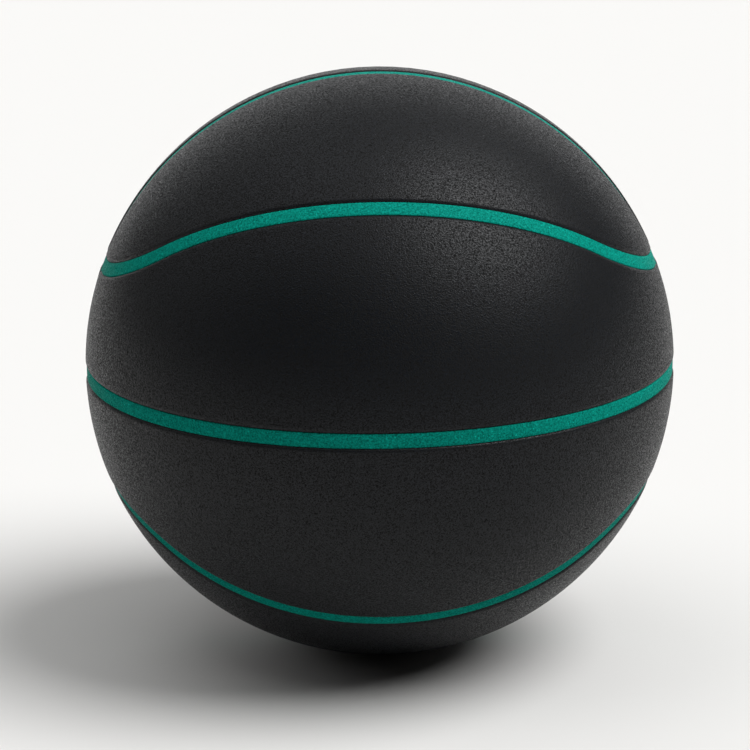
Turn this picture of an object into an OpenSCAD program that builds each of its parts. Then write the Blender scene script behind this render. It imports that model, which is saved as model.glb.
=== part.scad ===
// Foam basketball: a solid foam core, eight cover panels and seven seam strips in the channels between them.
// Origin at the centre of the ball, +Z up. The waist seam lies level, and the spine seam in the plane y = 0.

/* [Ball] */
// Outside diameter of the ball
ball_d = 240; // [150:1:250]
// Thickness of the cover panels
cover_t = 6; // [4:0.5:12]

/* [Seams] */
// Width of a seam strip, along the surface
seam_w = 5.75; // [3:0.05:8]
// How far a strip's face lies below the surface of the ball
seam_recess = 0.45; // [0.2:0.05:0.9]
// Width of the rolled edge of a panel beside a strip
roll_w = 1.8; // [1:0.1:3]
// How far the rolled edge drops at the strip
roll_drop = 1.1; // [0.5:0.05:1.8]
// Bend radius of the rolled edge
roll_r = 2.2; // [2:0.1:6]

/* [Seam layout] */
// Rise of the loop seams above the waist at the front and the back, in degrees
loop_rise = 44; // [40:0.5:50]
// Rise of the loop seams above the waist where they cross the spine, in degrees
loop_end_rise = 21.2; // [18:0.1:28]
// Angle at the centre of the ball between the middle of a loop's rounded end and its seam, in degrees
loop_end_angle = 36; // [28:0.5:42]

/* [Fits] */
// Bond line between the pieces
bond_gap = 0.1; // [0.05:0.01:0.3]
// Ease round a loop's tight ends: the channel opens and the strip slims by this on each side
end_ease = 0.1; // [0.08:0.01:0.2]

/* [Hidden] */
$fn = 96;
ball_r = ball_d / 2;
core_r = ball_r - cover_t - bond_gap;
cover_inner_r = ball_r - cover_t;
strip_r = ball_r - seam_recess;
// Cutters run from well inside the cover to well outside the ball
cut_inner_r = core_r * 0.7;
cut_outer_r = ball_r * 1.3;
cut_step = 30;
// How far above the ball's surface the bend of a rolled edge ends, so that it runs out at the surface
brow_rise = 0.03;
// How far a blank reaches past the part that is kept of it, in degrees
blank_lap = 10;
// How far a tight end laps into the wide arc of its loop, in degrees
end_lap = 2;
// Half widths as angles at the centre of the ball
strip_half = arc_angle(seam_w / 2);
wall_half = arc_angle(seam_w / 2 + bond_gap);
ease_angle = arc_angle(end_ease);
roll_angle = arc_angle(roll_w);
// A loop is four arcs: two wide ones, each about a tilted axis, meet two tight ones without a kink
end_tilt = loop_end_rise + loop_end_angle;
wide_angle = atan2(
    cos(loop_end_angle) - sin(loop_rise) * sin(end_tilt),
    cos(loop_rise) * sin(end_tilt) - sin(loop_end_angle));
wide_tilt = loop_rise + wide_angle;
wide_half_turn = 90 + atan2(sin(end_tilt) * cos(wide_tilt), cos(end_tilt));
end_half_turn = atan2(-cos(wide_tilt), sin(wide_tilt) * cos(end_tilt));
cover_colour = "#1c1c1d";
strip_colour = "#0a7a6b";
core_colour = "#38383a";

// Angle at the centre that a length along the surface takes up
function arc_angle(length) = length / ball_r * 180 / PI;

// Point of a turned section, by its radius and its angle from the axis
function polar(r, a) = [r * sin(a), r * cos(a)];

// Centre of the arc of radius r that leaves its centre on the right, going from p to q
function arc_centre(p, q, r) =
    let (half = (q - p) / 2, h = sqrt(r * r - half * half) / norm(half))
    p + half + h * [half[1], -half[0]];

// Straight-sided section between two angles, for cutters
module cut_section(a0, a1) {
    steps = ceil((a1 - a0) / cut_step);
    angles = [for (i = [0 : steps]) a0 + (a1 - a0) * i / steps];
    polygon([
        for (a = angles) polar(cut_inner_r, a),
        for (i = [steps : -1 : 0]) polar(cut_outer_r, angles[i]),
    ]);
}

// Round-sided section between two angles and two radii
module shell_section(a0, a1, r0, r1) {
    intersection() {
        difference() {
            circle(r1);
            circle(r0);
        }
        cut_section(a0, a1);
    }
}

// What a rolled edge takes off a panel at wall angle a; the panel lies on side +1 or -1 of the wall
module roll_waste(a, side) {
    brow_a = a + side * roll_angle;
    wall = polar(ball_r - roll_drop, a);
    brow = polar(ball_r + brow_rise, brow_a);
    low_r = ball_r - 2 * roll_drop;
    block = [
        polar(low_r, a), polar(low_r, brow_a),
        polar(cut_outer_r, brow_a), polar(cut_outer_r, a - side * roll_angle),
    ];
    difference() {
        polygon(side > 0 ? block : [for (i = [3 : -1 : 0]) block[i]]);
        translate(side > 0 ? arc_centre(wall, brow, roll_r) : arc_centre(brow, wall, roll_r))
            circle(roll_r);
    }
}

// Section of a cover blank between two angles
module cover_section(a0, a1) shell_section(a0, a1, cover_inner_r, ball_r);

// Section of a loop strip whose middle is at angle a, slimmed by a length on every side
module loop_section(a, slim) {
    half = strip_half - arc_angle(slim);
    shell_section(a - half, a + half, cover_inner_r + slim, strip_r - slim);
}

// Turns a section about the axis of the upper loop's wide front arc
module wide_turn() {
    rotate([90 - wide_tilt, 0, 0])
        rotate_extrude(angle = 2 * wide_half_turn, start = 270 - wide_half_turn) children();
}

// Turns a section about the axis of the upper loop's tight end on the right, lapping into the wide arcs
module end_turn() {
    half_turn = end_half_turn + end_lap;
    rotate([0, 90 - end_tilt, 0])
        rotate_extrude(angle = 2 * half_turn, start = -half_turn) children();
}

// Ring round the y axis, its seam on the underside
module spine_turn() rotate([90, 0, 0]) rotate([0, 0, -90]) rotate_extrude() children();

// Turns what is made for the spine, at the front, to the waist of an upper piece
module to_waist() rotate([90, 180, 0]) children();

// Block of everything with y above zero
module back_block() translate([-cut_outer_r, 0, -cut_outer_r]) cube(2 * cut_outer_r);

// Everything behind the front wall of the spine channel
module behind_spine() translate([0, -seam_w / 2 - bond_gap, 0]) back_block();

// Opens a front panel along the spine channel and rolls its edge
module open_at_spine() {
    difference() {
        difference() {
            children();
            behind_spine();
        }
        spine_turn() roll_waste(90 - wall_half, -1);
    }
}

// Opens an upper panel along the waist channel and rolls its edge
module open_at_waist() {
    difference() {
        difference() {
            children();
            to_waist() behind_spine();
        }
        to_waist() spine_turn() roll_waste(90 - wall_half, -1);
    }
}

// Cuts a front blank, child 0, by child 1 along the wide arc and by child 2 along both tight ends
module along_loop() {
    difference() {
        difference() {
            difference() {
                children(0);
                children(1);
            }
            children(2);
        }
        rotate([0, 0, 180]) children(2);
    }
}

// Section that clears up to a rolled panel edge at wall angle a
module clear_below(a) {
    cut_section(0, a);
    roll_waste(a, 1);
}

// Section that clears from a rolled panel edge at wall angle a
module clear_beyond(a) {
    cut_section(a, 180);
    roll_waste(a, -1);
}

// Panel between the waist and a loop, at the upper front
module side_panel() {
    color(cover_colour) along_loop() {
        open_at_spine() open_at_waist()
            rotate_extrude(angle = 180 + 2 * blank_lap, start = 180 - blank_lap)
                cover_section(90 - loop_rise - blank_lap, 90 + blank_lap);
        wide_turn() clear_below(wide_angle + wall_half);
        end_turn() clear_below(loop_end_angle + wall_half + ease_angle);
    }
}

// Panel inside a loop, at the top front
module cap_panel() {
    color(cover_colour) along_loop() {
        open_at_spine()
            rotate([0, 90, 0])
                rotate_extrude(angle = 90 + 2 * blank_lap, start = 180 - blank_lap)
                    cover_section(blank_lap, 180 - blank_lap);
        wide_turn() clear_beyond(wide_angle - wall_half);
        end_turn() clear_beyond(loop_end_angle - wall_half - ease_angle);
    }
}

// Ring-shaped strip round the y axis
module flat_strip() {
    spine_turn() intersection() {
        difference() {
            circle(strip_r);
            circle(cover_inner_r);
        }
        translate([0, -seam_w / 2]) square([ball_r, seam_w]);
    }
}

// Strip along the front half of the waist
module waist_half() {
    color(strip_colour) difference() {
        to_waist() flat_strip();
        behind_spine();
    }
}

// Strip along the front half of the upper loop
module loop_half() {
    color(strip_colour) difference() {
        union() {
            wide_turn() loop_section(wide_angle, 0);
            for (turn = [0, 180])
                rotate([0, 0, turn]) end_turn() loop_section(loop_end_angle, end_ease);
        }
        behind_spine();
    }
}

// Turns a front piece to the back
module to_back() rotate([0, 0, 180]) children();

// Turns an upper piece to the underside
module to_under() rotate([0, 180, 0]) children();

module foam_core() color(core_colour) sphere(core_r);
module front_upper_panel() side_panel();
module front_lower_panel() to_under() side_panel();
module back_upper_panel() to_back() side_panel();
module back_lower_panel() to_back() to_under() side_panel();
module top_front_panel() cap_panel();
module top_back_panel() to_back() cap_panel();
module bottom_front_panel() to_under() cap_panel();
module bottom_back_panel() to_back() to_under() cap_panel();
module spine_strip() color(strip_colour) flat_strip();
module waist_front_strip() waist_half();
module waist_back_strip() to_back() waist_half();
module upper_front_strip() loop_half();
module upper_back_strip() to_back() loop_half();
module lower_front_strip() to_under() loop_half();
module lower_back_strip() to_back() to_under() loop_half();

foam_core();
front_upper_panel();
front_lower_panel();
back_upper_panel();
back_lower_panel();
top_front_panel();
top_back_panel();
bottom_front_panel();
bottom_back_panel();
spine_strip();
waist_front_strip();
waist_back_strip();
upper_front_strip();
upper_back_strip();
lower_front_strip();
lower_back_strip();
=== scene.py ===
import math

import bmesh
import bpy
import numpy as np
from bpy.props import FloatProperty, FloatVectorProperty, PointerProperty
from mathutils import Euler, Matrix, Vector


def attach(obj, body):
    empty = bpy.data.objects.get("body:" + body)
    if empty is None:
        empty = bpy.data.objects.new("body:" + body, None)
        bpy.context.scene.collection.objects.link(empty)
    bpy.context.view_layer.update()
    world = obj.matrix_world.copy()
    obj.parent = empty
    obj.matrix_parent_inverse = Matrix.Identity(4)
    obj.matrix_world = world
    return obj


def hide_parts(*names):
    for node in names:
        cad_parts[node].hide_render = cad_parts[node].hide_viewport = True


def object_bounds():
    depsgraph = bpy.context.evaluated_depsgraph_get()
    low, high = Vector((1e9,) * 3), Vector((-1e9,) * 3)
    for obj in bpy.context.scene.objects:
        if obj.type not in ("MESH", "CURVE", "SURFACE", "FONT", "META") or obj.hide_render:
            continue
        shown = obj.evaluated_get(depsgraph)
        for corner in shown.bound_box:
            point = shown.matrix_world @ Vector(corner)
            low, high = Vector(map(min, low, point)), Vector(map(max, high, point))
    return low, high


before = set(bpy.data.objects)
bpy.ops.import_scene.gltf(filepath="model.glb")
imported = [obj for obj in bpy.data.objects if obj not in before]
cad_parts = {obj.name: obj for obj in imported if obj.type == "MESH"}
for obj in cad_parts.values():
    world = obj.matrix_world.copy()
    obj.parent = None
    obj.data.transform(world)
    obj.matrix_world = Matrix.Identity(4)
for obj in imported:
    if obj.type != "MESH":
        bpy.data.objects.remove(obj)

bl_info = {
    "name": "Foam Basketball",
    "version": (1, 0, 0),
    "blender": (4, 5, 0),
    "location": "View3D > Sidebar > Foam Ball",
    "description": "Builds the cover panels and seam strips of a foam basketball, and a studio stage",
    "category": "Object",
}

CAD_BOX = [list(corner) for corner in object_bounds()]
BODY = "root"

# Each piece is made at the upper front and turned into place: the signs of x, y and z are a half turn
UPPER_FRONT = (1, 1, 1)
LOWER_FRONT = (-1, 1, -1)
UPPER_BACK = (-1, -1, 1)
LOWER_BACK = (1, -1, -1)
SIDE_PANELS = {
    "front_upper_panel": UPPER_FRONT,
    "front_lower_panel": LOWER_FRONT,
    "back_upper_panel": UPPER_BACK,
    "back_lower_panel": LOWER_BACK,
}
CAP_PANELS = {
    "top_front_panel": UPPER_FRONT,
    "bottom_front_panel": LOWER_FRONT,
    "top_back_panel": UPPER_BACK,
    "bottom_back_panel": LOWER_BACK,
}
WAIST_STRIPS = {
    "waist_front_strip": UPPER_FRONT,
    "waist_back_strip": UPPER_BACK,
}
LOOP_STRIPS = {
    "upper_front_strip": UPPER_FRONT,
    "lower_front_strip": LOWER_FRONT,
    "upper_back_strip": UPPER_BACK,
    "lower_back_strip": LOWER_BACK,
}

# Steps along a loop's wide arc and each half of its tight ends, along a panel's side at the spine,
# and round a whole ring
WIDE_STEPS = 60
END_STEPS = 24
SPINE_STEPS = 18
RING_STEPS = 240
# How far the steps along a panel's sides draw together towards its corners
CROWDING = 0.6
# Rows of a panel from its edge inwards, as shares of the roll's width
EDGE_ROWS = (0.0, 0.02, 0.06, 0.13, 0.22, 0.34, 0.48, 0.64, 0.82, 1.0, 1.25, 1.7, 2.5)
# Section of a strip's face: shares of its half width, and of the rounding of its edges
FACE_SECTION = (
    (0.0, 0.0), (0.3, 0.01), (0.55, 0.04), (0.74, 0.11), (0.87, 0.27), (0.95, 0.55), (1.0, 1.0))
# Edges bent by more than this stay sharp
SHARP_ANGLE = math.radians(40)

# Noise of the foam's skin: its mean, the fine grain, and patches counted per metre
NOISE_MEAN = 0.5
GRAIN_DETAIL = 1.5
GRAIN_BREAKUP = 0.6
PATCH_SCALE = 55
PATCH_DETAIL = 3
# A pore is solid within its core and fades out at its rim, in shares of the pore size
PORE_CORE = 0.10
PORE_RIM = 0.24
# Shares of the pores that are pinholes, darkened with painted shade, and light specks, which are painted
# glints
PINHOLE_SHARE = 0.4
GLINT_SPECK_SHARE = 0.3
# The darkest that grain makes the foam, as a share of its colour
DARKEST = 0.1
# How much the roughness falls on a grain's crest and rises in a pinhole, and its limits
GRAIN_POLISH = 1.7
PINHOLE_ROUGHNESS = 0.5
LEAST_ROUGHNESS = 0.2
MOST_ROUGHNESS = 0.95
# Depth of a pinhole in the relief, and height of the relief as a share of the grain size
PINHOLE_SINK = 0.6
RELIEF_HEIGHT = 0.4

# Side of the square image in pixels, and width of the camera's sensor in millimetres
IMAGE_SIZE = 750
SENSOR_WIDTH = 36.0
# Side of the floor in metres
FLOOR_SIZE = 12.0
# Where each lamp stands from the middle of the ball, in metres, and the angle that it fills, in degrees
LAMPS = {
    "key_light": ((1.16, -0.22, 1.62), 46),
    "overhead_light": ((0.1, -0.2, 1.95), 70),
    "left_light": ((-1.29, 0.36, 1.49), 70),
    "back_light": ((0.0, 1.95, 0.3), 70),
}


class FoamBallSizes(bpy.types.PropertyGroup):
    """Sizes of the ball and the run of its seams"""

    ball_diameter: FloatProperty(
        name="Ball diameter", description="Outside diameter of the ball",
        default=0.240, min=0.15, max=0.25, unit="LENGTH")
    cover_thickness: FloatProperty(
        name="Cover thickness", description="Thickness of the foam cover panels",
        default=0.006, min=0.004, max=0.012, unit="LENGTH")
    seam_width: FloatProperty(
        name="Seam width", description="Width of a seam strip",
        default=0.00575, min=0.003, max=0.008, unit="LENGTH")
    seam_recess: FloatProperty(
        name="Seam recess", description="How far a strip's face lies below the surface of the ball",
        default=0.00045, min=0.0002, max=0.0009, unit="LENGTH")
    strip_round: FloatProperty(
        name="Strip rounding", description="How far the long edges of a strip's face fall away",
        default=0.00025, min=0.0, max=0.001, unit="LENGTH")
    roll_width: FloatProperty(
        name="Roll width", description="Width of the rolled edge of a panel beside a strip",
        default=0.0018, min=0.001, max=0.003, unit="LENGTH")
    roll_drop: FloatProperty(
        name="Roll drop", description="How far the rolled edge drops at the strip",
        default=0.0011, min=0.0005, max=0.0018, unit="LENGTH")
    bond_gap: FloatProperty(
        name="Bond gap", description="Bond line between a strip and the panels",
        default=0.0001, min=0.00005, max=0.0003, unit="LENGTH")
    loop_rise: FloatProperty(
        name="Loop rise", description="Rise of a loop seam above the waist at the front and the back",
        default=math.radians(44), subtype="ANGLE")
    loop_end_rise: FloatProperty(
        name="Loop end rise", description="Rise of a loop seam above the waist where it crosses the spine",
        default=math.radians(21.2), subtype="ANGLE")
    loop_end_angle: FloatProperty(
        name="Loop end angle", description="Angle between the middle of a loop's rounded end and its seam",
        default=math.radians(36), subtype="ANGLE")


class FoamBallFinish(bpy.types.PropertyGroup):
    """Colours and grain of the foam"""

    cover_colour: FloatVectorProperty(
        name="Cover colour", description="Colour of the cover panels",
        default=(0.0042, 0.0050, 0.0064), min=0, max=1, subtype="COLOR")
    strip_colour: FloatVectorProperty(
        name="Strip colour", description="Colour of the seam strips",
        default=(0.0029, 0.268, 0.206), min=0, max=1, subtype="COLOR")
    core_colour: FloatVectorProperty(
        name="Core colour", description="Colour of the foam inside",
        default=(0.04, 0.04, 0.043), min=0, max=1, subtype="COLOR")
    grain_size: FloatProperty(
        name="Grain size", description="Size of the grain in the foam's skin",
        default=0.00062, min=0.0002, max=0.004, unit="LENGTH")
    pore_size: FloatProperty(
        name="Pore size", description="Mean distance between the pores in the foam's skin",
        default=0.0016, min=0.0005, max=0.01, unit="LENGTH")


class FoamBallStage(bpy.types.PropertyGroup):
    """Camera, floor and light"""

    camera_distance: FloatProperty(
        name="Camera distance", description="From the camera to the middle of the ball",
        default=1.56, min=0.3, unit="LENGTH")
    camera_elevation: FloatProperty(
        name="Camera elevation", description="Angle of the camera above the level of the ball",
        default=math.radians(14.92), subtype="ANGLE")
    camera_turn: FloatProperty(
        name="Camera turn", description="How far the camera goes round the ball, to the right",
        default=math.radians(-0.29), subtype="ANGLE")
    camera_roll: FloatProperty(
        name="Camera roll", description="Tilt of the camera about its line of sight",
        default=math.radians(-0.68), subtype="ANGLE")
    camera_lens: FloatProperty(
        name="Lens", description="Focal length of the lens",
        default=183.0, min=20, unit="CAMERA")
    aim_right: FloatProperty(
        name="Aim right", description="How far right of the image's middle the ball sits",
        default=4.65, subtype="PIXEL")
    aim_up: FloatProperty(
        name="Aim up", description="How far above the image's middle the ball sits",
        default=14.5, subtype="PIXEL")
    floor_colour: FloatVectorProperty(
        name="Floor colour", description="Colour of the floor",
        default=(0.821, 0.814, 0.800), min=0, max=1, subtype="COLOR")
    floor_bounce: FloatProperty(
        name="Floor bounce", description="Share of the floor's light that falls back on the ball",
        default=0.56, min=0, max=1, subtype="FACTOR")
    world_light: FloatProperty(
        name="Surrounding light", description="Strength of the light from all round",
        default=0.01, min=0)
    key_light: FloatProperty(
        name="Key light", description="Strength of the soft light above on the right", default=2.8, min=0)
    overhead_light: FloatProperty(
        name="Overhead light", description="Strength of the soft light above the ball", default=0.72, min=0)
    left_light: FloatProperty(
        name="Left light", description="Strength of the soft light above on the left", default=0.58, min=0)
    back_light: FloatProperty(
        name="Back light", description="Strength of the wide light from behind", default=1.1, min=0)


class SeamLayout:
    """Where the seams run, as directions from the middle of the ball at its upper front."""

    def __init__(self, sizes):
        self.radius = sizes.ball_diameter / 2
        self.inner_radius = self.radius - sizes.cover_thickness
        self.strip_radius = self.radius - sizes.seam_recess
        self.wall = (sizes.seam_width / 2 + sizes.bond_gap) / self.radius
        rise = sizes.loop_rise
        end_angle = sizes.loop_end_angle
        end_tilt = sizes.loop_end_rise + end_angle
        self.end_angle = end_angle
        self.wide_angle = math.atan2(
            math.cos(end_angle) - math.sin(rise) * math.sin(end_tilt),
            math.cos(rise) * math.sin(end_tilt) - math.sin(end_angle))
        wide_tilt = rise + self.wide_angle
        self.wide_turn = math.pi / 2 + math.atan2(
            math.sin(end_tilt) * math.cos(wide_tilt), math.cos(end_tilt))
        self.end_turn = math.atan2(-math.cos(wide_tilt), math.sin(wide_tilt) * math.cos(end_tilt))
        # Axis of an arc, the direction from it to the arc's middle, and the way along the arc
        self.wide_axes = np.array([
            (0, -math.cos(wide_tilt), math.sin(wide_tilt)),
            (0, -math.sin(wide_tilt), -math.cos(wide_tilt)),
            (1, 0, 0)])
        self.end_axes = np.array([
            (math.cos(end_tilt), 0, math.sin(end_tilt)),
            (math.sin(end_tilt), 0, -math.cos(end_tilt)),
            (0, -1, 0)])

    def spine_line(self, offset, turns):
        """Line beside the spine, at turns from the top towards the right."""
        return np.stack([
            math.cos(offset) * np.sin(turns),
            np.full_like(turns, -math.sin(offset)),
            math.cos(offset) * np.cos(turns)], axis=1)

    def waist_line(self, offset, ends, shares):
        """Line above the waist from left to right, ending at the offset from the spine given by ends."""
        last = math.acos(math.sin(ends) / math.cos(offset))
        turns = last * (2 * shares - 1)
        return np.stack([
            math.cos(offset) * np.sin(turns),
            -math.cos(offset) * np.cos(turns),
            np.full_like(turns, math.sin(offset))], axis=1)

    def arc(self, axes, radius, turns):
        """Arc at an angle from its axis, at turns from its middle."""
        around = np.cos(turns)[:, None] * axes[1] + np.sin(turns)[:, None] * axes[2]
        return math.cos(radius) * axes[0] + math.sin(radius) * around

    def wide_arc(self, offset, shares):
        """Wide arc of the loop from left to right, at an offset outwards from its middle."""
        return self.arc(self.wide_axes, self.wide_angle + offset, self.wide_turn * (2 * shares - 1))

    def right_end(self, offset, ends, shares):
        """Tight end on the right, from the wide arc to the offset from the spine given by ends."""
        radius = self.end_angle + offset
        last = math.asin(math.sin(ends) / math.sin(radius))
        return self.arc(self.end_axes, radius, self.end_turn + (last - self.end_turn) * shares)

    def half_loop(self, offset, ends, wide_shares, end_shares):
        """Front half of the loop from left to right: a tight end, the wide arc and the other tight end."""
        end = self.right_end(offset, ends, end_shares)
        wide = self.wide_arc(offset, wide_shares)
        return np.concatenate([left_of(end)[::-1], wide[1:-1], end])

    def loop_corner_turn(self, offset, ends):
        """Turn from the top at which a line along the loop meets a line beside the spine."""
        corner = self.right_end(offset, ends, np.ones(1))[0]
        return math.atan2(corner[0], corner[2])

    def loop_offset(self, points):
        """Distance of each point outwards from the middle of the loop, as an angle."""
        to_right = np.where(points[:, :1] > 0, points, left_of(points))
        normal = np.cross(self.wide_axes[0], self.end_axes[0])
        front = self.wide_axes[1] @ normal
        in_end = (to_right @ normal) * front < 0
        wide = np.arccos(np.clip(points @ self.wide_axes[0], -1, 1)) - self.wide_angle
        end = np.arccos(np.clip(to_right @ self.end_axes[0], -1, 1)) - self.end_angle
        return np.where(in_end, end, wide)


def left_of(line):
    """The same line on the other side of the ball, left for right."""
    return line * np.array((-1, 1, 1))


def even(steps):
    """Shares from 0 to 1 in even steps."""
    return np.linspace(0, 1, steps + 1)


def crowded_ends(steps):
    """Shares from 0 to 1, closer together towards both ends."""
    return even(steps) - CROWDING * np.sin(2 * np.pi * even(steps)) / (2 * np.pi)


def crowded_last(steps):
    """Shares from 0 to 1, closer together towards 1."""
    return even(steps) + CROWDING * np.sin(np.pi * even(steps)) / np.pi


def side_panel_sides(layout, inset):
    """Lower, right, upper and left side of the panel between waist and loop, drawn in by an angle."""
    wall = layout.wall + inset
    waist = layout.waist_line(wall, wall, crowded_ends(WIDE_STEPS + 2 * END_STEPS))
    loop = layout.half_loop(wall, wall, even(WIDE_STEPS), crowded_last(END_STEPS))
    low = math.acos(math.sin(wall) / math.cos(wall))
    high = layout.loop_corner_turn(wall, wall)
    right = layout.spine_line(wall, low + (high - low) * crowded_ends(SPINE_STEPS))
    return waist, right, loop, left_of(right)


def cap_panel_sides(layout, inset):
    """Lower, right, upper and left side of the panel inside the loop, drawn in by an angle."""
    wall = layout.wall + inset
    wide = layout.wide_arc(-wall, even(WIDE_STEPS))
    end = layout.right_end(-wall, wall, crowded_last(END_STEPS))
    corner = layout.loop_corner_turn(-wall, wall)
    spine = layout.spine_line(wall, corner * (2 * crowded_ends(WIDE_STEPS) - 1))
    return wide, end, spine, left_of(end)


def filled(lower, right, upper, left):
    """Grid of directions between four sides."""
    u = np.linspace(0, 1, len(lower))[:, None, None]
    v = np.linspace(0, 1, len(left))[None, :, None]
    across = (1 - v) * lower[:, None] + v * upper[:, None]
    along = (1 - u) * left[None] + u * right[None]
    left_corners = (1 - v) * lower[0] + v * upper[0]
    right_corners = (1 - v) * lower[-1] + v * upper[-1]
    grid = across + along - ((1 - u) * left_corners + u * right_corners)
    return grid / np.linalg.norm(grid, axis=2, keepdims=True)


def rolled_radius(layout, sizes, points, neighbour):
    """Radius of a panel's skin at each point, from its distance to the spine and to its other seam."""
    to_spine = (np.arcsin(-points[:, 1]) - layout.wall) * layout.radius
    to_other = (neighbour(points) - layout.wall) * layout.radius
    over = [np.clip(1 - distance / sizes.roll_width, 0, 1) for distance in (to_spine, to_other)]
    depth = np.minimum(np.hypot(*over), 1)
    return layout.radius - sizes.roll_drop * (1 - np.sqrt(1 - depth ** 2))


def border_places(columns, rows):
    """Places round the border of a grid, in the order of a panel's rings."""
    lower = [(i, 0) for i in range(columns - 1)]
    right = [(columns - 1, j) for j in range(rows - 1)]
    upper = [(i, rows - 1) for i in range(columns - 1, 0, -1)]
    left = [(0, j) for j in range(rows - 1, 0, -1)]
    return lower + right + upper + left


def ring_faces(outer, inner, count):
    """Faces between two rings of points, given by their first points."""
    return [
        (outer + i, outer + (i + 1) % count, inner + (i + 1) % count, inner + i)
        for i in range(count)]


def grid_faces(columns, rows, ring_start, inside_start):
    """Faces of a grid whose border is a ring of points and whose inside is numbered row by row."""
    index = np.zeros((columns, rows), int)
    inside = np.arange((columns - 2) * (rows - 2)).reshape(columns - 2, rows - 2)
    index[1:-1, 1:-1] = inside_start + inside
    for k, place in enumerate(border_places(columns, rows)):
        index[place] = ring_start + k
    return [
        (index[i, j], index[i + 1, j], index[i + 1, j + 1], index[i, j + 1])
        for i in range(columns - 1) for j in range(rows - 1)]


def panel_mesh(name, layout, sizes, sides, neighbour):
    """Closed foam panel: rolled rows along its edge, a grid inside them, and its underside."""
    rings = []
    for row in EDGE_ROWS:
        lower, right, upper, left = sides(layout, row * sizes.roll_width / layout.radius)
        rings.append(np.concatenate([lower[:-1], right[:-1], upper[:0:-1], left[:0:-1]]))
    grid = filled(lower, right, upper, left)
    columns, rows = grid.shape[:2]
    inside = grid[1:-1, 1:-1].reshape(-1, 3)
    skin = np.concatenate([*rings, inside])
    under = np.concatenate([rings[0], rings[-1], inside])

    count = len(rings[0])
    last = (len(rings) - 1) * count
    base = len(skin)
    faces = []
    for start in range(0, last, count):
        faces += ring_faces(start, start + count, count)
    faces += grid_faces(columns, rows, last, last + count)
    faces += ring_faces(base, 0, count)
    underside = ring_faces(base, base + count, count)
    underside += grid_faces(columns, rows, base + count, base + 2 * count)
    faces += [face[::-1] for face in underside]

    skin_radii = rolled_radius(layout, sizes, skin, neighbour)
    radii = np.concatenate([skin_radii, np.full(len(under), layout.inner_radius)])
    return smooth_mesh(name, np.concatenate([skin, under]) * radii[:, None], faces)


def strip_section(layout, sizes):
    """Offsets across a strip, as angles, and the radius at each, all round its section."""
    half = sizes.seam_width / 2 / layout.radius
    right = [
        (share * half, layout.strip_radius - fall * sizes.strip_round)
        for share, fall in FACE_SECTION]
    left = [(-offset, radius) for offset, radius in right[:0:-1]]
    return left + right + [(half, layout.inner_radius), (-half, layout.inner_radius)]


def strip_mesh(name, layout, sizes, line, closed):
    """Foam strip swept along a seam; line gives the points at an offset from the seam's middle."""
    section = strip_section(layout, sizes)
    lines = np.stack([line(offset) * radius for offset, radius in section], axis=1)
    steps, count = lines.shape[:2]
    faces = []
    for i in range(steps if closed else steps - 1):
        here = i * count
        there = (i + 1) % steps * count
        for k in range(count):
            after = (k + 1) % count
            faces.append((here + k, there + k, there + after, here + after))
    if not closed:
        faces.append(tuple(range(count)))
        faces.append(tuple((steps - 1) * count + k for k in reversed(range(count))))
    return smooth_mesh(name, lines.reshape(-1, 3), faces)


def smooth_mesh(name, points, faces):
    """Mesh with smooth faces and sharp corners, its faces all turned outwards."""
    mesh = bpy.data.meshes.new(name)
    mesh.from_pydata([tuple(p) for p in points], [], [tuple(int(i) for i in face) for face in faces])
    bm = bmesh.new()
    bm.from_mesh(mesh)
    bmesh.ops.recalc_face_normals(bm, faces=bm.faces)
    open_edges = sum(1 for edge in bm.edges if len(edge.link_faces) != 2)
    bm.to_mesh(mesh)
    bm.free()
    if open_edges:
        raise RuntimeError(f"{name} has {open_edges} open edges")
    mesh.shade_smooth()
    mesh.set_sharp_from_angle(angle=SHARP_ANGLE)
    return mesh


def place_piece(mesh, node, signs, material):
    """Turns a mesh into place as the piece that stands for a CAD node."""
    mesh.transform(Matrix.Diagonal((*signs, 1)))
    mesh.update()
    mesh.materials.append(material)
    piece = bpy.data.objects.new(mesh.name, mesh)
    bpy.context.scene.collection.objects.link(piece)
    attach(piece, BODY)
    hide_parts(node)


def maths(tree, operation, first, second, third=None):
    """A Math node's result; each input is a socket or a number."""
    node = tree.nodes.new("ShaderNodeMath")
    node.operation = operation
    for socket, value in zip(node.inputs, (first, second, third)):
        if isinstance(value, bpy.types.NodeSocket):
            tree.links.new(value, socket)
        elif value is not None:
            socket.default_value = value
    return node.outputs[0]


def colour_mix(tree, blend):
    """A Mix node for colours: its factor, its two colours and its result."""
    node = tree.nodes.new("ShaderNodeMix")
    node.data_type = "RGBA"
    node.blend_type = blend
    first, second = [socket for socket in node.inputs if socket.type == "RGBA"]
    result = next(socket for socket in node.outputs if socket.type == "RGBA")
    return node.inputs["Factor"], first, second, result


def foam_grain_sockets(tree):
    """Inputs and outputs of the foam grain group."""
    tree.interface.new_socket("Foam Colour", in_out="INPUT", socket_type="NodeSocketColor")
    for label in ("Grain Scale", "Pore Scale", "Grain Contrast", "Patch Contrast", "Pinhole Depth",
                  "Speck Gain", "Mean Roughness"):
        tree.interface.new_socket(label, in_out="INPUT", socket_type="NodeSocketFloat")
    tree.interface.new_socket("Colour", in_out="OUTPUT", socket_type="NodeSocketColor")
    tree.interface.new_socket("Roughness", in_out="OUTPUT", socket_type="NodeSocketFloat")
    tree.interface.new_socket("Height", in_out="OUTPUT", socket_type="NodeSocketFloat")
    values = tree.nodes.new("NodeGroupInput").outputs
    result = tree.nodes.new("NodeGroupOutput").inputs
    return values, result


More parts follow.
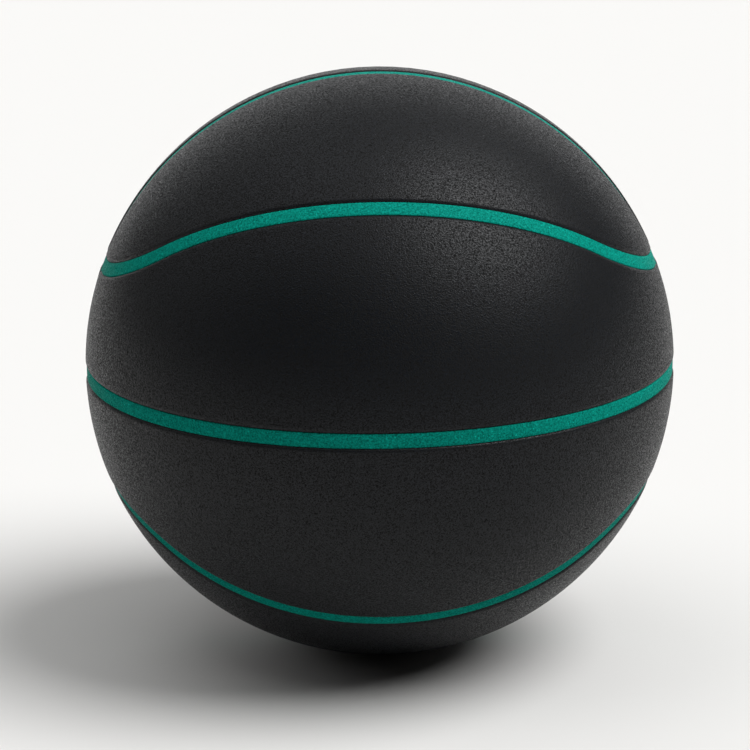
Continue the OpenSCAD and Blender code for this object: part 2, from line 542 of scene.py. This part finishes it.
def foam_grain_group():
    """Node group of the foam's skin: sandy grain, pinholes with painted shade in them, light specks that
    are painted glints, and slow patches.
    """
    name = "Foam Grain"
    if name in bpy.data.node_groups:
        return bpy.data.node_groups[name]
    tree = bpy.data.node_groups.new(name, "ShaderNodeTree")
    link = tree.links.new
    values, result = foam_grain_sockets(tree)
    where = tree.nodes.new("ShaderNodeTexCoord").outputs["Object"]

    grain = tree.nodes.new("ShaderNodeTexNoise")
    grain.inputs["Detail"].default_value = GRAIN_DETAIL
    grain.inputs["Roughness"].default_value = GRAIN_BREAKUP
    link(where, grain.inputs["Vector"])
    link(values["Grain Scale"], grain.inputs["Scale"])
    grain_wave = maths(tree, "SUBTRACT", grain.outputs["Fac"], NOISE_MEAN)

    patches = tree.nodes.new("ShaderNodeTexNoise")
    patches.inputs["Scale"].default_value = PATCH_SCALE
    patches.inputs["Detail"].default_value = PATCH_DETAIL
    link(where, patches.inputs["Vector"])
    patch_wave = maths(tree, "SUBTRACT", patches.outputs["Fac"], NOISE_MEAN)

    pores = tree.nodes.new("ShaderNodeTexVoronoi")
    link(where, pores.inputs["Vector"])
    link(values["Pore Scale"], pores.inputs["Scale"])
    chance = tree.nodes.new("ShaderNodeSeparateColor")
    link(pores.outputs["Color"], chance.inputs["Color"])
    dot = tree.nodes.new("ShaderNodeMapRange")
    dot.inputs["From Min"].default_value = PORE_CORE
    dot.inputs["From Max"].default_value = PORE_RIM
    dot.inputs["To Min"].default_value = 1
    dot.inputs["To Max"].default_value = 0
    link(pores.outputs["Distance"], dot.inputs["Value"])
    # Pinholes sink the relief, roughen the skin and darken the colour as painted shade
    pinhole = maths(tree, "GREATER_THAN", chance.outputs["Red"], 1 - PINHOLE_SHARE)
    pinhole = maths(tree, "MULTIPLY", pinhole, dot.outputs["Result"])
    pinhole_sink_and_shade = maths(tree, "MULTIPLY", pinhole, values["Pinhole Depth"])
    # Light specks are painted glints that lighten the colour
    glint_speck = maths(tree, "LESS_THAN", chance.outputs["Red"], GLINT_SPECK_SHARE)
    glint_speck = maths(tree, "MULTIPLY", glint_speck, dot.outputs["Result"])

    lightness = maths(tree, "MULTIPLY_ADD", grain_wave, values["Grain Contrast"], 1.0)
    lightness = maths(tree, "MULTIPLY_ADD", patch_wave, values["Patch Contrast"], lightness)
    # Painted glints: the light specks lighten the colour
    lightness = maths(tree, "MULTIPLY_ADD", glint_speck, values["Speck Gain"], lightness)
    lightness = maths(tree, "MAXIMUM", lightness, DARKEST)
    # Painted shade: the colour is darkened in the pinholes
    lightness = maths(tree, "MULTIPLY", lightness, maths(tree, "SUBTRACT", 1.0, pinhole_sink_and_shade))
    factor, plain, shade, tinted = colour_mix(tree, "MULTIPLY")
    factor.default_value = 1
    link(values["Foam Colour"], plain)
    link(lightness, shade)
    link(tinted, result["Colour"])

    rough = maths(tree, "MULTIPLY_ADD", grain_wave, -GRAIN_POLISH, values["Mean Roughness"])
    rough = maths(tree, "MAXIMUM", rough, LEAST_ROUGHNESS)
    rough = maths(tree, "MULTIPLY_ADD", pinhole_sink_and_shade, PINHOLE_ROUGHNESS, rough)
    link(maths(tree, "MINIMUM", rough, MOST_ROUGHNESS), result["Roughness"])
    link(maths(tree, "MULTIPLY_ADD", pinhole_sink_and_shade, -PINHOLE_SINK, grain.outputs["Fac"]), result["Height"])
    return tree


def foam_material(name, colour, finish, grain, roughness, gloss, relief):
    """Matte foam with a grained, porous skin; grain holds the group's contrasts."""
    if name in bpy.data.materials:
        return bpy.data.materials[name]
    material = bpy.data.materials.new(name)
    material.use_nodes = True
    tree = material.node_tree
    link = tree.links.new
    shader = tree.nodes["Principled BSDF"]
    skin = tree.nodes.new("ShaderNodeGroup")
    skin.node_tree = foam_grain_group()
    skin.inputs["Foam Colour"].default_value = (*colour, 1)
    skin.inputs["Grain Scale"].default_value = 1 / finish.grain_size
    skin.inputs["Pore Scale"].default_value = 1 / finish.pore_size
    skin.inputs["Mean Roughness"].default_value = roughness
    for label, value in grain.items():
        skin.inputs[label].default_value = value
    bump = tree.nodes.new("ShaderNodeBump")
    bump.inputs["Strength"].default_value = relief
    bump.inputs["Distance"].default_value = finish.grain_size * RELIEF_HEIGHT
    link(skin.outputs["Height"], bump.inputs["Height"])
    link(skin.outputs["Colour"], shader.inputs["Base Color"])
    link(skin.outputs["Roughness"], shader.inputs["Roughness"])
    link(bump.outputs["Normal"], shader.inputs["Normal"])
    shader.inputs["Specular IOR Level"].default_value = gloss
    return material


def cover_foam(finish):
    """Black sandy skin of the cover panels."""
    grain = {"Grain Contrast": 8.0, "Patch Contrast": 0.3, "Pinhole Depth": 0.6, "Speck Gain": 1.5}
    return foam_material(
        "cover_foam_skin", finish.cover_colour, finish, grain, roughness=0.5, gloss=0.21, relief=0.7)


def seam_foam(finish):
    """Dull green skin of the seam strips."""
    grain = {"Grain Contrast": 2.5, "Patch Contrast": 0.12, "Pinhole Depth": 0.25, "Speck Gain": 1.0}
    return foam_material(
        "seam_foam_skin", finish.strip_colour, finish, grain, roughness=0.6, gloss=0.01, relief=0.4)


def core_foam(finish):
    """Open cells of the core."""
    grain = {"Grain Contrast": 2.5, "Patch Contrast": 0.3, "Pinhole Depth": 0.9, "Speck Gain": 0.3}
    return foam_material(
        "core_foam_cells", finish.core_colour, finish, grain, roughness=0.8, gloss=0.1, relief=0.6)


class FOAMBALL_OT_core(bpy.types.Operator):
    """Gives the solid foam core its open-celled finish"""

    bl_idname = "foamball.core"
    bl_label = "Foam Core"

    def execute(self, context):
        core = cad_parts["foam_core"]
        core.data.materials.clear()
        core.data.materials.append(core_foam(context.scene.foam_ball_finish))
        return {"FINISHED"}


class FOAMBALL_OT_side_panels(bpy.types.Operator):
    """Builds the four panels between the waist and the loops"""

    bl_idname = "foamball.side_panels"
    bl_label = "Side Panels"

    def execute(self, context):
        sizes = context.scene.foam_ball_sizes
        layout = SeamLayout(sizes)
        foam = cover_foam(context.scene.foam_ball_finish)

        def neighbour(points):
            return np.minimum(np.arcsin(points[:, 2]), layout.loop_offset(points))

        for node, signs in SIDE_PANELS.items():
            mesh = panel_mesh(node + "_foam", layout, sizes, side_panel_sides, neighbour)
            place_piece(mesh, node, signs, foam)
        return {"FINISHED"}


class FOAMBALL_OT_cap_panels(bpy.types.Operator):
    """Builds the four panels inside the loops"""

    bl_idname = "foamball.cap_panels"
    bl_label = "Cap Panels"

    def execute(self, context):
        sizes = context.scene.foam_ball_sizes
        layout = SeamLayout(sizes)
        foam = cover_foam(context.scene.foam_ball_finish)

        def neighbour(points):
            return -layout.loop_offset(points)

        for node, signs in CAP_PANELS.items():
            mesh = panel_mesh(node + "_foam", layout, sizes, cap_panel_sides, neighbour)
            place_piece(mesh, node, signs, foam)
        return {"FINISHED"}


class FOAMBALL_OT_spine_strip(bpy.types.Operator):
    """Builds the strip that goes all the way over and under the ball"""

    bl_idname = "foamball.spine_strip"
    bl_label = "Spine Strip"

    def execute(self, context):
        sizes = context.scene.foam_ball_sizes
        layout = SeamLayout(sizes)
        foam = seam_foam(context.scene.foam_ball_finish)
        turns = np.arange(RING_STEPS) * 2 * np.pi / RING_STEPS

        def line(offset):
            return layout.spine_line(offset, turns)

        mesh = strip_mesh("spine_strip_foam", layout, sizes, line, closed=True)
        place_piece(mesh, "spine_strip", UPPER_FRONT, foam)
        return {"FINISHED"}


class FOAMBALL_OT_waist_strips(bpy.types.Operator):
    """Builds the two half strips of the level seam"""

    bl_idname = "foamball.waist_strips"
    bl_label = "Waist Strips"

    def execute(self, context):
        sizes = context.scene.foam_ball_sizes
        layout = SeamLayout(sizes)
        foam = seam_foam(context.scene.foam_ball_finish)

        def line(offset):
            return layout.waist_line(offset, layout.wall, even(RING_STEPS // 2))

        for node, signs in WAIST_STRIPS.items():
            mesh = strip_mesh(node + "_foam", layout, sizes, line, closed=False)
            place_piece(mesh, node, signs, foam)
        return {"FINISHED"}


class FOAMBALL_OT_loop_strips(bpy.types.Operator):
    """Builds the four half strips of the two loop seams"""

    bl_idname = "foamball.loop_strips"
    bl_label = "Loop Strips"

    def execute(self, context):
        sizes = context.scene.foam_ball_sizes
        layout = SeamLayout(sizes)
        foam = seam_foam(context.scene.foam_ball_finish)

        def line(offset):
            return layout.half_loop(offset, layout.wall, even(WIDE_STEPS), even(END_STEPS))

        for node, signs in LOOP_STRIPS.items():
            mesh = strip_mesh(node + "_foam", layout, sizes, line, closed=False)
            place_piece(mesh, node, signs, foam)
        return {"FINISHED"}


def photo_camera(stage):
    """Camera at the photograph's angle, aimed so that the ball sits where it does there."""
    lens = bpy.data.cameras.new("photo_camera")
    lens.lens = stage.camera_lens
    lens.sensor_width = SENSOR_WIDTH
    camera = bpy.data.objects.new("photo_camera", lens)
    turn = Matrix.Rotation(stage.camera_turn, 3, "Z")
    level = Matrix.Rotation(math.pi / 2 - stage.camera_elevation, 3, "X")
    roll = Matrix.Rotation(stage.camera_roll, 3, "Z")
    facing = turn @ level @ roll
    focal_pixels = stage.camera_lens / SENSOR_WIDTH * IMAGE_SIZE
    aim_down = -math.atan(stage.aim_up / focal_pixels)
    aim_left = math.atan(stage.aim_right / focal_pixels)
    aim = Euler((aim_down, aim_left, 0)).to_matrix()
    place = facing @ Vector((0, 0, stage.camera_distance))
    camera.matrix_world = Matrix.LocRotScale(place, facing @ aim, None)
    return camera


def floor_material(stage):
    """Pale matte floor that throws less light back at the ball than it shows."""
    material = bpy.data.materials.new("studio_floor")
    material.use_nodes = True
    tree = material.node_tree
    shader = tree.nodes["Principled BSDF"]
    rays = tree.nodes.new("ShaderNodeLightPath").outputs
    seen = maths(tree, "MAXIMUM", rays["Is Camera Ray"], rays["Is Glossy Ray"])
    seen = maths(tree, "MAXIMUM", seen, rays["Is Transmission Ray"])
    factor, thrown, shown, colour = colour_mix(tree, "MIX")
    tree.links.new(seen, factor)
    thrown.default_value = (*[stage.floor_bounce * level for level in stage.floor_colour], 1)
    shown.default_value = (*stage.floor_colour, 1)
    tree.links.new(colour, shader.inputs["Base Color"])
    shader.inputs["Roughness"].default_value = 1
    shader.inputs["Specular IOR Level"].default_value = 0
    return material


def studio_world(stage):
    """Even light from all round."""
    world = bpy.data.worlds.new("studio_world")
    world.use_nodes = True
    sky = world.node_tree.nodes["Background"]
    sky.inputs["Color"].default_value = (1, 1, 1, 1)
    sky.inputs["Strength"].default_value = stage.world_light
    return world


def soft_light(name, place, spread, strength):
    """Distant soft lamp that shines on the ball from the direction of a place."""
    lamp = bpy.data.lights.new(name, "SUN")
    lamp.energy = strength
    lamp.angle = spread
    light = bpy.data.objects.new(name, lamp)
    light.location = place
    light.rotation_euler = (-Vector(place)).to_track_quat("-Z", "Y").to_euler()
    return light


class FOAMBALL_OT_stage(bpy.types.Operator):
    """Sets up the camera, the floor and the studio light"""

    bl_idname = "foamball.stage"
    bl_label = "Studio Stage"

    def execute(self, context):
        scene = context.scene
        stage = scene.foam_ball_stage
        camera = photo_camera(stage)
        scene.collection.objects.link(camera)
        scene.camera = camera

        floor_level = CAD_BOX[0][2]
        bpy.ops.mesh.primitive_plane_add(size=FLOOR_SIZE, location=(0, 0, floor_level))
        floor = context.object
        floor.name = "studio_floor"
        floor.data.materials.append(floor_material(stage))

        scene.world = studio_world(stage)
        for name, (place, spread) in LAMPS.items():
            light = soft_light(name, place, math.radians(spread), getattr(stage, name))
            scene.collection.objects.link(light)
        scene.view_settings.view_transform = "Standard"
        return {"FINISHED"}


class FOAMBALL_PT_sidebar(bpy.types.Panel):
    """Lists the sizes and colours, and the steps that build the ball"""

    bl_idname = "FOAMBALL_PT_sidebar"
    bl_label = "Foam Ball"
    bl_space_type = "VIEW_3D"
    bl_region_type = "UI"
    bl_category = "Foam Ball"

    def draw(self, context):
        column = self.layout.column()
        scene = context.scene
        for group in (scene.foam_ball_sizes, scene.foam_ball_finish, scene.foam_ball_stage):
            for name in group.__annotations__:
                column.prop(group, name)
            column.separator()
        for step in STEPS:
            column.operator(step.bl_idname)


STEPS = (
    FOAMBALL_OT_core,
    FOAMBALL_OT_side_panels,
    FOAMBALL_OT_cap_panels,
    FOAMBALL_OT_spine_strip,
    FOAMBALL_OT_waist_strips,
    FOAMBALL_OT_loop_strips,
    FOAMBALL_OT_stage,
)
CLASSES = (FoamBallSizes, FoamBallFinish, FoamBallStage, *STEPS, FOAMBALL_PT_sidebar)


def register():
    for cls in CLASSES:
        bpy.utils.register_class(cls)
    bpy.types.Scene.foam_ball_sizes = PointerProperty(type=FoamBallSizes)
    bpy.types.Scene.foam_ball_finish = PointerProperty(type=FoamBallFinish)
    bpy.types.Scene.foam_ball_stage = PointerProperty(type=FoamBallStage)


def unregister():
    del bpy.types.Scene.foam_ball_stage
    del bpy.types.Scene.foam_ball_finish
    del bpy.types.Scene.foam_ball_sizes
    for cls in reversed(CLASSES):
        bpy.utils.unregister_class(cls)


def main():
    register()
    bpy.ops.foamball.core()
    bpy.ops.foamball.side_panels()
    bpy.ops.foamball.cap_panels()
    bpy.ops.foamball.spine_strip()
    bpy.ops.foamball.waist_strips()
    bpy.ops.foamball.loop_strips()
    bpy.ops.foamball.stage()


if __name__ == "__main__":
    main()
